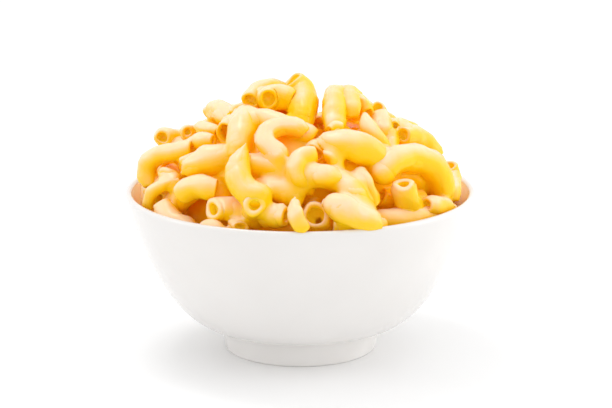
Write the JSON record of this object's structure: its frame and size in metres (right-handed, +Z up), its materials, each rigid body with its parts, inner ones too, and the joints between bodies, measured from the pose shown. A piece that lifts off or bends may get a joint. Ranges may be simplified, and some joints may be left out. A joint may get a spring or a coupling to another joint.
{
  "type": "bowl of macaroni and cheese",
  "caption": "Footed round bowl heaped with curved hollow pasta in a smooth cheese sauce.",
  "frame": {"origin": "centre of the circle that the foot stands on", "axes": "+Z up along the bowl's axis; the view from -Y is the front"},
  "size_m": [0.12, 0.12, 0.0983],
  "materials": {
    "porcelain": "smooth white glaze",
    "macaroni": "moist pasta with a thin coat of cheese sauce"
  },
  "bodies": {
    "root": {"bowl": "porcelain", "macaroni_heap": "macaroni"}
  },
  "joints": []
}
